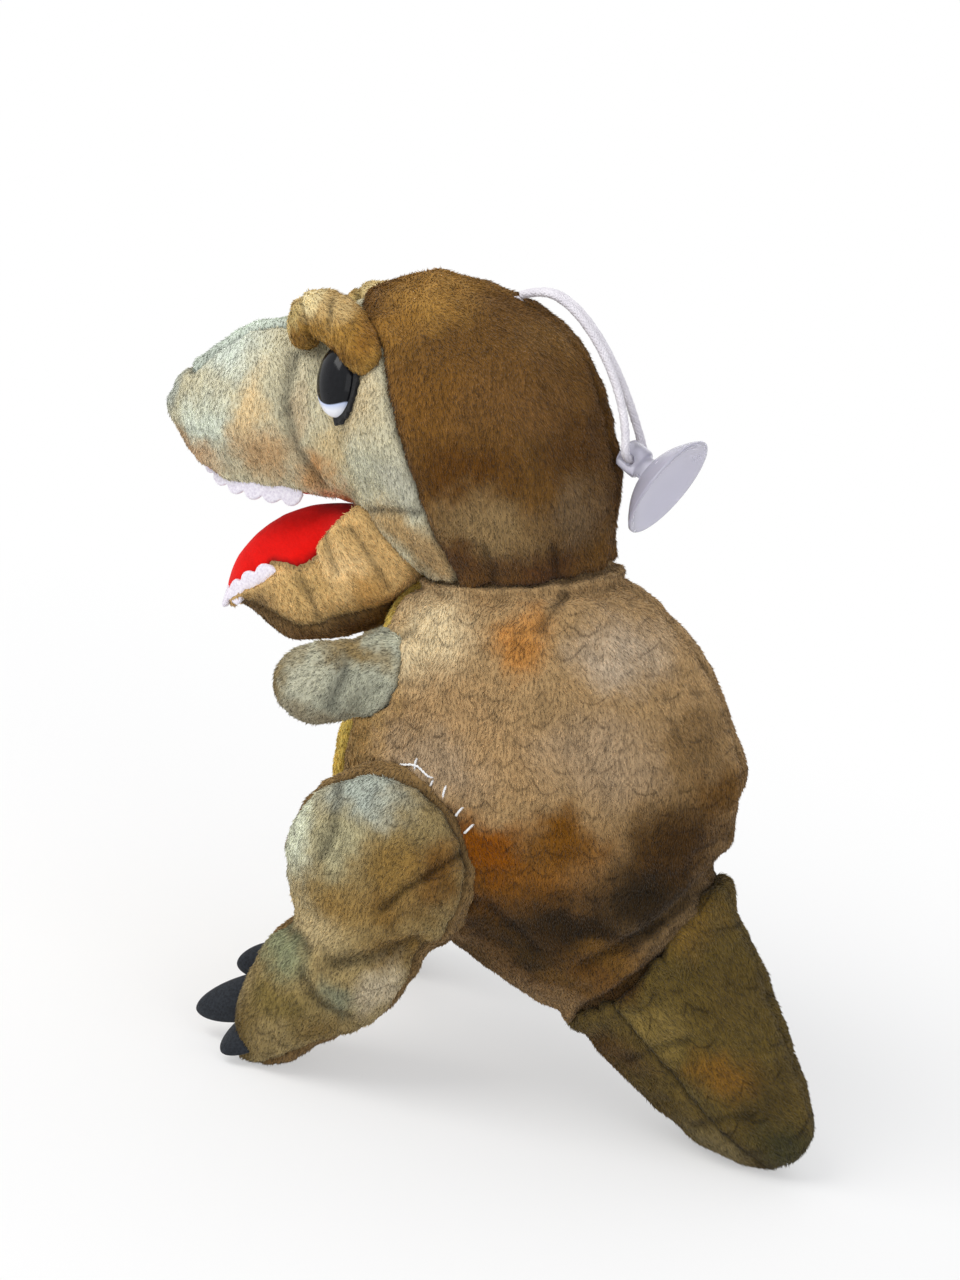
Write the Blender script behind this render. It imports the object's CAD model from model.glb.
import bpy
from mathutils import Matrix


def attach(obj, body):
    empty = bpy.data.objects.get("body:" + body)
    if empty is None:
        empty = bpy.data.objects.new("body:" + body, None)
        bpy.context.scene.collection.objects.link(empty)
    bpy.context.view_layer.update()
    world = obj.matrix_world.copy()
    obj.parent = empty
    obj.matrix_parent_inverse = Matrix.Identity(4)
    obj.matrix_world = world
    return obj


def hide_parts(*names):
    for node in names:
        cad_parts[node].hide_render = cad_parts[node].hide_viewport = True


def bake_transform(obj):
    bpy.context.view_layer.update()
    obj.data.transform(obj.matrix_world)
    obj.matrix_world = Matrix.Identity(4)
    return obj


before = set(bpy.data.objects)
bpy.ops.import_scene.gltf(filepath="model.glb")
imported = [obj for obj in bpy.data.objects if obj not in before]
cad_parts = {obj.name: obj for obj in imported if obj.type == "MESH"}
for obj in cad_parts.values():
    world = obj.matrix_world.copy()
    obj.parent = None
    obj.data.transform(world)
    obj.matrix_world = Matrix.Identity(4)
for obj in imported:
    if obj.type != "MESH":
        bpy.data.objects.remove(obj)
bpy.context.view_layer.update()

import math
from functools import partial

import bmesh
import bpy
import numpy as np
from mathutils import Matrix, Vector, noise
from mathutils.bvhtree import BVHTree
from mathutils.kdtree import KDTree

# ------------------------------------------------------------ room, light and camera
# A pale floor in a plain white room, with large soft lamps above and in front. The
# camera stands at the toy's left side, a little above it, and is turned about its
# own axis so that the toy leans.
mm = 0.001
azimuth, elevation, roll = (math.radians(angle) for angle in (15.0, 15.0, 14.5))
look_at = Vector((0.0, -10.34, 114.14)) * mm
camera_distance = 0.75
towards_camera = Vector((math.cos(azimuth) * math.cos(elevation),
                         math.sin(azimuth) * math.cos(elevation), math.sin(elevation)))
level = Vector((-math.sin(azimuth), math.cos(azimuth), 0))
rise = towards_camera.cross(level)
camera_right = level * math.cos(roll) + rise * math.sin(roll)
camera_up = rise * math.cos(roll) - level * math.sin(roll)
camera_place = look_at + towards_camera * camera_distance


def facing(place, right, up, back):
    """The matrix of an object at a place with these three directions."""
    turn = Matrix((right, up, back)).transposed().to_4x4()
    return Matrix.Translation(place) @ turn


def linked(name, data):
    """A new object in the scene."""
    made = bpy.data.objects.new(name, data)
    scene.collection.objects.link(made)
    return made


def mesh_of(bm, name):
    """A new mesh with what the bmesh holds. The bmesh is freed."""
    mesh = bpy.data.meshes.new(name)
    bm.to_mesh(mesh)
    bm.free()
    return mesh


scene = bpy.context.scene
scene.view_settings.view_transform = "Standard"
camera_data = bpy.data.cameras.new("camera")
camera_data.sensor_fit = "HORIZONTAL"
camera_data.sensor_width = 36.0
camera_data.lens = 104.06
camera_data.clip_start = 0.01
camera = linked("camera", camera_data)
camera.matrix_world = facing(camera_place, camera_right, camera_up, towards_camera)
scene.camera = camera


def node(tree, kind, links=None, **settings):
    """Adds a node, sets its properties, and joins or fills its inputs."""
    made = tree.nodes.new(kind)
    for key, value in settings.items():
        setattr(made, key, value)
    for key, value in (links or {}).items():
        if isinstance(value, bpy.types.NodeSocket):
            tree.links.new(value, made.inputs[key])
        else:
            made.inputs[key].default_value = value
    return made


def sum_of(tree, operation, *values):
    """One Math node's result."""
    return node(tree, "ShaderNodeMath", dict(enumerate(values)), operation=operation).outputs[0]


def length_of(tree, vector):
    """How long a vector is."""
    return node(tree, "ShaderNodeVectorMath", {0: vector}, operation="LENGTH").outputs["Value"]


def ranged(tree, value, low, high, to_low=0.0, to_high=1.0, **settings):
    """A value taken from one range to another."""
    return node(tree, "ShaderNodeMapRange", {"Value": value, "From Min": low, "From Max": high,
                                             "To Min": to_low, "To Max": to_high}, **settings).outputs[0]


def eased(tree, value, low, high, *to):
    """A value taken from one range to another with soft ends."""
    return ranged(tree, value, low, high, *to, interpolation_type="SMOOTHSTEP")


def place_in(tree):
    """Where each point is, in metres, as the toy stands at rest."""
    return node(tree, "ShaderNodeTexCoord").outputs["Object"]


def seen_directly(tree):
    """1 for what the camera sees, straight or by reflection or through clear plastic."""
    path = node(tree, "ShaderNodeLightPath").outputs
    return sum_of(tree, "MAXIMUM", sum_of(tree, "MAXIMUM", path["Is Camera Ray"], path["Is Glossy Ray"]),
                  path["Is Transmission Ray"])


world = bpy.data.worlds.new("white_room")
scene.world = world
world.use_nodes = True
world.node_tree.nodes.clear()
room_light = node(world.node_tree, "ShaderNodeBackground", {"Color": (0.97, 0.98, 1, 1), "Strength": 0.62})
room_seen = node(world.node_tree, "ShaderNodeBackground", {"Color": (1, 1, 1, 1), "Strength": 1.0})
room_mix = node(world.node_tree, "ShaderNodeMixShader",
                {0: seen_directly(world.node_tree), 1: room_light.outputs[0], 2: room_seen.outputs[0]})
node(world.node_tree, "ShaderNodeOutputWorld", {"Surface": room_mix.outputs[0]})


def lamp(name, place, size, power, tint):
    """A square soft lamp that points at the toy."""
    data = bpy.data.lights.new(name, "AREA")
    data.size = size
    data.energy = power
    data.color = tint
    lamp_object = linked(name, data)
    back = (Vector(place) - look_at).normalized()
    right = Vector((0, 0, 1)).cross(back).normalized()
    lamp_object.matrix_world = facing(Vector(place), right, back.cross(right), back)


lamp("window", (0.6, -0.6, 0.9), 0.7, 8.4, (1.0, 0.99, 0.97))
lamp("room_side", (0.7, 0.75, 0.35), 0.8, 2.2, (0.95, 0.97, 1.0))
lamp("far_side", (-0.8, 0.1, 0.6), 0.8, 2.0, (1.0, 1.0, 1.0))

bm = bmesh.new()
floor_radius, floor_height = 4.0, -0.6 * mm
bmesh.ops.create_circle(bm, cap_ends=True, segments=64, radius=floor_radius)
bmesh.ops.translate(bm, verts=bm.verts, vec=(0, 0, floor_height))
floor_mesh = mesh_of(bm, "floor")
floor = linked("floor", floor_mesh)
floor_paint = bpy.data.materials.new("floor_paint")
floor_paint.use_nodes = True
tree = floor_paint.node_tree
tree.nodes.clear()
floor_matt = node(tree, "ShaderNodeBsdfDiffuse", {"Color": (0.9, 0.9, 0.9, 1)})
floor_white = node(tree, "ShaderNodeEmission", {"Color": (1, 1, 1, 1), "Strength": 1.0})
fade = eased(tree, length_of(tree, place_in(tree)), 0.1, 0.45, 0.45, 1.0)
floor_mix = node(tree, "ShaderNodeMixShader", {0: sum_of(tree, "MULTIPLY", fade, seen_directly(tree)),
                                               1: floor_matt.outputs[0], 2: floor_white.outputs[0]})
node(tree, "ShaderNodeOutputMaterial", {"Surface": floor_mix.outputs[0]})
floor_mesh.materials.append(floor_paint)

# ------------------------------------------------------------ hanging cord
# A loop of white braided cord. Its two ends are caught in the seam on top of the
# head, and the suction cup hangs at the other end of the loop. Twelve soft yarns
# run round a soft core, half of them each way, over and under one another.


def paint(red, green, blue):
    """A colour given in screen values from 0 to 255, as the shader's own values."""
    values = [c / 255 for c in (red, green, blue)]
    return [c / 12.92 if c <= 0.04045 else ((c + 0.055) / 1.055) ** 2.4 for c in values] + [1.0]


def finish_of(name, colour, **sockets):
    """A material with one Principled shader, and the tree and shader for its nodes."""
    made = bpy.data.materials.new(name)
    made.use_nodes = True
    shader = made.node_tree.nodes["Principled BSDF"]
    shader.inputs["Base Color"].default_value = colour
    for socket, value in sockets.items():
        shader.inputs[socket.replace("_", " ")].default_value = value
    return made, made.node_tree, shader


def piece_from(name, mesh, finish):
    """Links a mesh as a smooth piece with one finish."""
    mesh.name = name
    mesh.materials.clear()
    mesh.materials.append(finish)
    mesh.polygons.foreach_set("use_smooth", [True] * len(mesh.polygons))
    return linked(name, mesh)


def belongs(piece, body, stands_for):
    """Says which body a piece moves with, what it is made of, and which CAD node it stands for."""
    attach(piece, body)
    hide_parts(stands_for)
    return piece


def finished(obj):
    """The object's mesh with its modifiers in it. The object itself is removed."""
    bpy.context.view_layer.update()
    graph = bpy.context.evaluated_depsgraph_get()
    mesh = bpy.data.meshes.new_from_object(obj.evaluated_get(graph), preserve_all_data_layers=True,
                                           depsgraph=graph)
    bpy.data.objects.remove(obj)
    return mesh


def noise_of(tree, vector, scale, detail, **inputs):
    """A noise texture node."""
    return node(tree, "ShaderNodeTexNoise", {"Vector": vector, "Scale": scale, "Detail": detail, **inputs})


def blended(tree, share, below, above, kind="MIX"):
    """Two colours mixed by a share."""
    factor, colour_a, colour_b, colour_out = 0, 6, 7, 2    # by number, since this node's socket names repeat
    return node(tree, "ShaderNodeMix", {factor: share, colour_a: below, colour_b: above},
                data_type="RGBA", blend_type=kind).outputs[colour_out]


cord_diameter = 2.4 * mm
cord_exit = (1.9, -22.5, 207.2)
strand = [cord_exit, (2.0, -17.2, 210.2), (1.9, -9.6, 208.8), (1.9, -1.6, 203.4), (2.2, 5.2, 196.6),
          (3.4, 11.2, 188.6), (6.0, 15.6, 180.6)]
cup_bends = [(6.909, 16.948, 174.166), (-6.484, 19.309, 174.166)]
cord_route = strand + cup_bends + [(-x, y, z) for x, y, z in reversed(strand)]

route_curve = bpy.data.curves.new("cord_route", "CURVE")
route_curve.dimensions = "3D"
spline = route_curve.splines.new("NURBS")
spline.points.add(len(cord_route) - 1)
for point, spot in zip(spline.points, cord_route):
    point.co = (*(c * mm for c in spot), 1.0)
spline.order_u = 3
spline.use_endpoint_u = True
spline.resolution_u = 24
route_object = bpy.data.objects.new("cord_route", route_curve)
cord_line = [v.co.copy() for v in bpy.data.meshes.new_from_object(route_object).vertices]
bpy.data.objects.remove(route_object)

cord_steps = [0.0]
for before, after in zip(cord_line, cord_line[1:]):
    cord_steps.append(cord_steps[-1] + (after - before).length)
cord_length = cord_steps[-1]


def along_cord(distance):
    """The cord's centre, and two directions across it, at a distance from its start."""
    i = min(max(np.searchsorted(cord_steps, distance) - 1, 0), len(cord_line) - 2)
    share = (distance - cord_steps[i]) / max(cord_steps[i + 1] - cord_steps[i], 1e-9)
    ahead = (cord_line[i + 1] - cord_line[i]).normalized()
    side = ahead.cross(Vector((0.2, 0.1, 1))).normalized()
    return cord_line[i].lerp(cord_line[i + 1], share), side, ahead.cross(side)


def tubes(name, radius, resolution):
    """A curve whose splines are round tubes with closed ends."""
    curve = bpy.data.curves.new(name, "CURVE")
    curve.dimensions = "3D"
    curve.bevel_depth = radius
    curve.bevel_resolution = resolution
    curve.use_fill_caps = True
    return curve


yarns, yarn_radius, yarn_pitch, yarn_step = 6, 0.4 * mm, 7.5 * mm, 0.55 * mm
braid = tubes("braid", yarn_radius, 1)
yarn_points = int(cord_length / yarn_step)
for turning in (1, -1):
    for yarn in range(yarns):
        spline = braid.splines.new("POLY")
        spline.points.add(yarn_points - 1)
        for i, point in enumerate(spline.points):
            distance = cord_length * i / (yarn_points - 1)
            centre, side, other = along_cord(distance)
            angle = turning * 2 * math.pi * distance / yarn_pitch + 2 * math.pi * yarn / yarns
            crossing = math.sin(2 * math.pi * distance / yarn_pitch * yarns + math.pi * yarn)
            out = cord_diameter / 2 - yarn_radius * (1.15 - 0.25 * turning * crossing)
            point.co = (*(centre + (side * math.cos(angle) + other * math.sin(angle)) * out), 1.0)
core = braid.splines.new("POLY")
core.points.add(yarn_points - 1)
for i, point in enumerate(core.points):
    point.co = (*along_cord(cord_length * i / (yarn_points - 1))[0], 1.0)
    point.radius = (cord_diameter / 2 - 1.3 * yarn_radius) / yarn_radius
cord_finish, tree, shader = finish_of("white_braid", paint(226, 222, 228), Roughness=0.75, Sheen_Weight=0.25)
cord_dust = noise_of(tree, place_in(tree), 260.0, 3.0).outputs["Fac"]
cord_tone = blended(tree, cord_dust, paint(202, 197, 206), paint(240, 237, 241))
tree.links.new(cord_tone, shader.inputs["Base Color"])
cord = piece_from("hanger_cord_braid", finished(bpy.data.objects.new("braid", braid)), cord_finish)
belongs(cord, "hanger", "hanger_cord")

# ------------------------------------------------------------ suction cup
# A clear soft plastic cup, moulded in one piece: a thin dish that grips a pane, a
# short neck, and a button with a cross hole that the cord is threaded through.
cup_way = Matrix.Translation(Vector((2.2, 29.4, 170.0)) * mm) @ Matrix.Rotation(math.radians(-10), 4, "Z") \
    @ Matrix.Rotation(math.radians(70), 4, "X")
cup_rim, cup_lip, cup_depth = 15.0 * mm, 0.7 * mm, 5.2 * mm
neck_radius, button_radius, neck_foot, button_foot, button_top = (v * mm for v in (3.2, 4.2, 6.7, 9.3, 15.7))
bm = bmesh.new()
steps = [i / 12 for i in range(13)]
outline = [(share * (cup_rim - 0.8 * mm), cup_depth * (1 - share ** 2.1)) for share in steps]
outline += [(cup_rim - 0.2 * mm, 0.0), (cup_rim, 0.15 * mm), (cup_rim, cup_lip - 0.1 * mm),
            (cup_rim - 0.25 * mm, cup_lip + 0.1 * mm)]
outline += [(cup_rim + (neck_radius + 0.8 * mm - cup_rim) * share,
             cup_lip + (neck_foot - cup_lip) * (1 - (1 - share) ** 1.7)) for share in steps[1:-1]]
outline += [(neck_radius + 0.3 * mm, neck_foot + 0.2 * mm), (neck_radius, neck_foot + 0.9 * mm),
            (neck_radius, button_foot - 0.3 * mm), (button_radius - 0.4 * mm, button_foot),
            (button_radius, button_foot + 0.5 * mm), (button_radius, button_top - 0.7 * mm),
            (button_radius - 0.6 * mm, button_top - 0.1 * mm), (button_radius - 1.4 * mm, button_top),
            (0, button_top)]
loop = [bm.verts.new((r, 0, z)) for r, z in outline]
edges = [bm.edges.new(pair) for pair in zip(loop, loop[1:])]
bmesh.ops.spin(bm, geom=loop + edges, cent=(0, 0, 0), axis=(0, 0, 1), angle=2 * math.pi, steps=72,
               use_merge=True)
bmesh.ops.remove_doubles(bm, verts=bm.verts, dist=1e-6)
bmesh.ops.recalc_face_normals(bm, faces=bm.faces)
cup_blank = linked("cup_blank", mesh_of(bm, "suction_cup_clear"))
bm = bmesh.new()
bmesh.ops.create_cone(bm, cap_ends=True, segments=32, radius1=1.6 * mm, radius2=1.6 * mm, depth=20 * mm)
bmesh.ops.transform(bm, verts=bm.verts, matrix=Matrix.Translation((0, 0, button_foot + 2.9 * mm))
                    @ Matrix.Rotation(math.pi / 2, 4, "Y"))
hole_tool = linked("hole_tool", mesh_of(bm, "cord_hole"))
bored = cup_blank.modifiers.new("bored", "BOOLEAN")
bored.operation = "DIFFERENCE"
bored.object = hole_tool
cup_mesh = finished(cup_blank)
bpy.data.objects.remove(hole_tool)
cup_mesh.transform(cup_way)
cup_finish, tree, shader = finish_of("clear_soft_plastic", paint(214, 212, 226), Roughness=0.22, IOR=1.45,
                                     Transmission_Weight=0.55)
cup_smear = noise_of(tree, place_in(tree), 190.0, 4.0, Distortion=0.6).outputs["Fac"]
tree.links.new(ranged(tree, cup_smear, 0, 1, 0.14, 0.34), shader.inputs["Roughness"])
cup = piece_from("suction_cup_clear", cup_mesh, cup_finish)
belongs(cup, "hanger", "suction_cup")

# ------------------------------------------------------------ torso
# The stuffed middle of the toy: two printed plush side panels and a yellow belly
# panel, sewn with their edges turned in and blown full of fibrefill. The pile is
# short and brushed down and back. The fabric swells between its seams.


def add_to(together, part):
    """Adds one bmesh to another. The first is freed."""
    copy = mesh_of(part, "copy")
    together.from_mesh(copy)
    bpy.data.meshes.remove(copy)


weld_distance, fill_swell = 0.02 * mm, 0.6


def joined(names):
    """One mesh of these CAD nodes at rest. The filling is swelled into the panels round it."""
    together = bmesh.new()
    for name in names:
        part = bmesh.new()
        part.from_mesh(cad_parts[name].data)
        bmesh.ops.remove_doubles(part, verts=part.verts, dist=weld_distance)
        if "_fill" in name:
            part.normal_update()
            for vert in part.verts:
                vert.co += vert.normal * fill_swell * mm
        add_to(together, part)
    return mesh_of(together, "joined")


def remeshed(mesh, voxel):
    """The same shape with even faces of this size in millimetres."""
    skin = linked("skin", mesh)
    even = skin.modifiers.new("even", "REMESH")
    even.mode = "VOXEL"
    even.voxel_size = voxel * mm
    return finished(skin)


def smoothed(mesh, times):
    """Draws each point of a mesh half way to its neighbours, this many times."""
    bm = bmesh.new()
    bm.from_mesh(mesh)
    for _ in range(times):
        bmesh.ops.smooth_vert(bm, verts=bm.verts, factor=0.5, use_axis_x=True, use_axis_y=True,
                              use_axis_z=True)
    bm.to_mesh(mesh)
    bm.free()
    return mesh


def one_skin(mesh, voxel, smoothing):
    """The outside of a mesh as one even skin, its largest island, smoothed."""
    mesh = remeshed(mesh, voxel)
    bm = bmesh.new()
    bm.from_mesh(mesh)
    islands, seen = [], set()
    for vert in bm.verts:
        if vert in seen:
            continue
        island, edge_of_island = [vert], [vert]
        seen.add(vert)
        while edge_of_island:
            for edge in edge_of_island.pop().link_edges:
                for other in edge.verts:
                    if other not in seen:
                        seen.add(other)
                        island.append(other)
                        edge_of_island.append(other)
        islands.append(island)
    largest = max(islands, key=lambda island: max(v.co.z for v in island) - min(v.co.z for v in island)
                  + max(v.co.y for v in island) - min(v.co.y for v in island))
    for island in islands:
        if island is not largest:
            bmesh.ops.delete(bm, geom=island, context="VERTS")
    bm.to_mesh(mesh)
    bm.free()
    return smoothed(mesh, smoothing)


def spots_and_ways(mesh):
    """The places in millimetres and the outward directions of a mesh's points."""
    count = len(mesh.vertices)
    spots, ways = np.empty(count * 3), np.empty(count * 3)
    mesh.vertices.foreach_get("co", spots)
    mesh.vertices.foreach_get("normal", ways)
    return spots.reshape(-1, 3) / mm, ways.reshape(-1, 3)


def moved(mesh, spots):
    """Puts a mesh's points at these places in millimetres."""
    mesh.vertices.foreach_set("co", (spots * mm).ravel())
    mesh.update()


def seam_distances(mesh, panel_of, neighbours):
    """How far each point is, in millimetres, from its own form's seams and from the next form."""
    bm = bmesh.new()
    bm.from_mesh(mesh)
    for face in bm.faces:
        face.material_index = panel_of(face.calc_center_median() / mm)[0]
    seam_points = [v.co.copy() for v in bm.verts if len({f.material_index for f in v.link_faces}) > 1]
    tree = KDTree(max(len(seam_points), 1))
    for i, point in enumerate(seam_points):
        tree.insert(point, i)
    tree.balance()
    far = 12.0
    near = np.full((2, len(bm.verts)), far)
    beside = BVHTree.FromBMesh(nodes_as_bmesh(neighbours)) if neighbours else None
    for i, vert in enumerate(bm.verts):
        if seam_points:
            near[0, i] = min(far, tree.find(vert.co)[2] / mm)
        if beside:
            found = beside.find_nearest(vert.co, far * mm)[3]
            if found is not None:
                near[1, i] = found / mm
    bm.free()
    return near


def nodes_as_bmesh(names):
    """The CAD nodes of these names as one bmesh."""
    together = bmesh.new()
    for name in names:
        together.from_mesh(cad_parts[name].data)
    return together


def filled_out(mesh, near, most, ease):
    """Blows the skin up between its seams with Blender's cloth, by at most a few millimetres."""
    before, _ = spots_and_ways(mesh)
    skin = linked("skin", mesh)
    sewn = skin.vertex_groups.new(name="sewn")
    seam_width = 1.6
    sewn.add([i for i in range(len(near)) if near[i] < seam_width], 1.0, "REPLACE")
    cloth = skin.modifiers.new("filling", "CLOTH")
    fabric = dict(quality=4, mass=0.02, tension_stiffness=12, compression_stiffness=12, shear_stiffness=5,
                  bending_stiffness=0.05, use_pressure=True, uniform_pressure_force=4.0, shrink_min=-ease,
                  vertex_group_mass="sewn")
    for setting, value in fabric.items():
        setattr(cloth.settings, setting, value)
    cloth.settings.effector_weights.gravity = 0.0
    cloth.collision_settings.use_collision = False
    last_frame = 20
    cloth.point_cache.frame_start = 1
    cloth.point_cache.frame_end = last_frame
    for step in range(1, last_frame + 1):
        scene.frame_set(step)
    mesh = finished(skin)
    scene.frame_set(1)
    after, _ = spots_and_ways(mesh)
    shift = after - before
    size = np.linalg.norm(shift, axis=1, keepdims=True)
    moved(mesh, before + shift * most / (most + size))
    return mesh


def line_distance(spots, line):
    """How far points are from a line of (y, z) places, looking along X."""
    flat = spots[:, 1:]
    best = np.full(len(flat), 1e9)
    for start, end in zip(line, line[1:]):
        start, along = np.array(start), np.subtract(end, start)
        share = np.clip((flat - start) @ along / (along @ along), 0, 1)[:, None]
        best = np.minimum(best, np.linalg.norm(flat - start - share * along, axis=1))
    return best


def smooth_share(value, low, high):
    """0 below low, 1 above high, and smooth between."""
    share = np.clip((value - low) / (high - low), 0, 1)
    return share * share * (3 - 2 * share)


def waves(spots, size, seed):
    """Smooth noise from about -1 to 1 whose lumps are about this many millimetres long."""
    shift = Vector((seed * 7.3, seed * 3.1, seed * 5.7))
    return np.array([noise.noise(Vector(spot) / size + shift) for spot in spots]) * 1.6


def sculpted(mesh, near, seed, creases=(), bumps=(), seam_depth=1.1, lump=0.7, crowd=1.2, shaped=None):
    """Turns the fabric in at its seams, puckers it there, and folds it along the creases."""
    spots, ways = spots_and_ways(mesh)
    own, beside = near
    close = near.min(axis=0)
    push = -seam_depth * np.exp(-(own / 1.1) ** 2) + 0.45 * np.exp(-((own - 4.2) / 2.6) ** 2)
    push += crowd * np.exp(-((beside - 2.0) / 1.5) ** 2) - 0.5 * np.exp(-(beside / 0.5) ** 2)
    push += 0.5 * waves(spots, 4.4, seed) * np.exp(-(close / 5.5) ** 2)
    push += lump * waves(spots, 17, seed + 1) + 0.18 * lump * waves(spots, 6.5, seed + 2)
    dark = np.maximum(np.exp(-(own / 0.9) ** 2), 0.8 * np.exp(-(beside / 1.3) ** 2))
    for line, inner, outer, depth, width in creases:
        across = np.abs(spots[:, 0])
        reach = smooth_share(across, inner - 3, inner) * (1 - smooth_share(across, outer, outer + 3))
        away = line_distance(spots, line)
        push += reach * depth * (0.4 * np.exp(-((away - 2.3 * width) / (1.3 * width)) ** 2)
                                 - np.exp(-(away / width) ** 2))
        dark = np.maximum(dark, 0.85 * reach * np.exp(-(away / (0.75 * width)) ** 2))
    for centre, reach, height in bumps:
        offset = np.column_stack((np.abs(spots[:, 0]), spots[:, 1], spots[:, 2])) - np.array(centre)
        push += height * np.exp(-(np.linalg.norm(offset, axis=1) / reach) ** 2)
    spots = spots + ways * push[:, None]
    if shaped:
        moved(mesh, shaped(spots))
        spots = spots_and_ways(smoothed(mesh, 8))[0]
    least_height = 0.3
    spots[:, 2] = np.maximum(spots[:, 2], least_height)
    moved(mesh, spots)
    mesh.attributes.new("crease", "FLOAT", "POINT").data.foreach_set("value", dark)
    return mesh


def sewn_form(nodes, panel_of, cuts, seed, neighbours=(), voxel=2.3, most=1.5, ease=0.05, comb=(0, 0.35, -1),
              **folds):
    """The finished skin of one stuffed form, cut along its seams: {panel: its outer sheet}.

    A cut is a plane's place and direction, and the faces that it runs through. Folds go on to sculpted.
    """
    mesh = one_skin(joined(nodes) if isinstance(nodes, list) else nodes, voxel, 3)
    mesh = filled_out(mesh, seam_distances(mesh, panel_of, neighbours).min(axis=0), most, ease)
    skin = linked("skin", mesh)
    finer = skin.modifiers.new("finer", "SUBSURF")
    finer.levels = finer.render_levels = 1
    mesh = finished(skin)
    bm = bmesh.new()
    bm.from_mesh(mesh)
    for point, normal, where in cuts:
        cut = {f for f in bm.faces if where(f.calc_center_median() / mm)}
        cut |= {e for f in cut for e in f.edges} | {v for f in cut for v in f.verts}
        bmesh.ops.bisect_plane(bm, geom=list(cut), dist=0.15 * mm, plane_co=Vector(point) * mm,
                               plane_no=normal)
    sheets = {}
    for face in bm.faces:
        number, panel = panel_of(face.calc_center_median() / mm)
        face.material_index = number
        sheets[panel] = number
    bm.to_mesh(mesh)
    bm.free()
    mesh = sculpted(mesh, seam_distances(mesh, panel_of, neighbours), seed, **folds)
    spots, ways = spots_and_ways(mesh)
    comb_way = np.array(comb, dtype=float)
    ruffle = np.column_stack([waves(spots, 11, seed + 3 + i) * 0.4 for i in range(3)])
    lie = comb_way / np.linalg.norm(comb_way) + ruffle
    lie -= ways * np.sum(lie * ways, axis=1, keepdims=True)
    lie /= np.maximum(np.linalg.norm(lie, axis=1, keepdims=True), 0.2)
    lean = lie * 0.93 + ways * 0.36
    mesh.attributes.new("lean", "FLOAT_VECTOR", "POINT").data.foreach_set("vector", lean.ravel())
    for panel, number in sheets.items():
        part = bmesh.new()
        part.from_mesh(mesh)
        bmesh.ops.delete(part, geom=[f for f in part.faces if f.material_index != number], context="FACES")
        for face in part.faces:
            face.material_index = 0
        sheets[panel] = mesh_of(part, panel)
    return sheets


def group_of(name, takes, gives):
    """A shader group with these inputs and outputs, and its two end nodes."""
    made = bpy.data.node_groups.new(name, "ShaderNodeTree")
    for label, kind, value in takes:
        socket = made.interface.new_socket(name=label, in_out="INPUT", socket_type="NodeSocket" + kind)
        if value is not None:
            socket.default_value = value
    for label, kind in gives:
        made.interface.new_socket(name=label, in_out="OUTPUT", socket_type="NodeSocket" + kind)
    return made, made.nodes.new("NodeGroupInput"), made.nodes.new("NodeGroupOutput")


def vector_of(tree, operation, *values):
    """One Vector Math node's result."""
    return node(tree, "ShaderNodeVectorMath", dict(enumerate(values)), operation=operation).outputs[0]


spray, spray_in, spray_out = group_of("dye_spray", [("Place", "Vector", None), ("Centre", "Vector", None),
                                                    ("Reach", "Vector", (10, 10, 10))], [("Mask", "Float")])
offset = vector_of(spray, "SUBTRACT", spray_in.outputs["Place"], spray_in.outputs["Centre"])
scaled = vector_of(spray, "DIVIDE", offset, spray_in.outputs["Reach"])
spray.links.new(eased(spray, length_of(spray, scaled), 1.45, 0.25), spray_out.inputs["Mask"])

scales, scales_in, scales_out = group_of("scale_print", [("Along", "Float", 0.0), ("Up", "Float", 0.0),
                                                         ("Wide", "Float", 8.5), ("High", "Float", 7.5)],
                                         [("Line", "Float"), ("Shade", "Float")])
calc = partial(sum_of, scales)
row = calc("DIVIDE", scales_in.outputs["Up"], scales_in.outputs["High"])
down_row = calc("FRACT", row)
column = calc("ADD", calc("DIVIDE", scales_in.outputs["Along"], scales_in.outputs["Wide"]),
              calc("MULTIPLY", calc("FLOOR", row), 0.5))
across = calc("SUBTRACT", calc("FRACT", column), 0.5)
scallop = calc("MULTIPLY", calc("POWER", calc("ABSOLUTE", across), 2.0), 2.2)
rim_gap = calc("ABSOLUTE", calc("SUBTRACT", calc("SUBTRACT", down_row, 0.12), scallop))
scales.links.new(eased(scales, rim_gap, 0.11, 0.02), scales_out.inputs["Line"])
scales.links.new(eased(scales, calc("SUBTRACT", down_row, scallop), 0.5, 0.1), scales_out.inputs["Shade"])

brushed, brushed_in, brushed_out = group_of("brushed_pile", [("Combed", "Vector", None)],
                                            [("Tone", "Float"), ("Height", "Float")])
stretched = vector_of(brushed, "MULTIPLY", brushed_in.outputs["Combed"], (1.0, 1.0, 0.2))
fine_pile = noise_of(brushed, stretched, 1.5, 3.0, Roughness=0.65).outputs["Fac"]
patchy_pile = noise_of(brushed, stretched, 0.42, 3.0, Distortion=0.8).outputs["Fac"]
pile_tone = sum_of(brushed, "ADD", sum_of(brushed, "MULTIPLY", fine_pile, 0.45),
                   sum_of(brushed, "MULTIPLY", patchy_pile, 0.55))
brushed.links.new(pile_tone, brushed_out.inputs["Tone"])
brushed.links.new(fine_pile, brushed_out.inputs["Height"])


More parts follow.
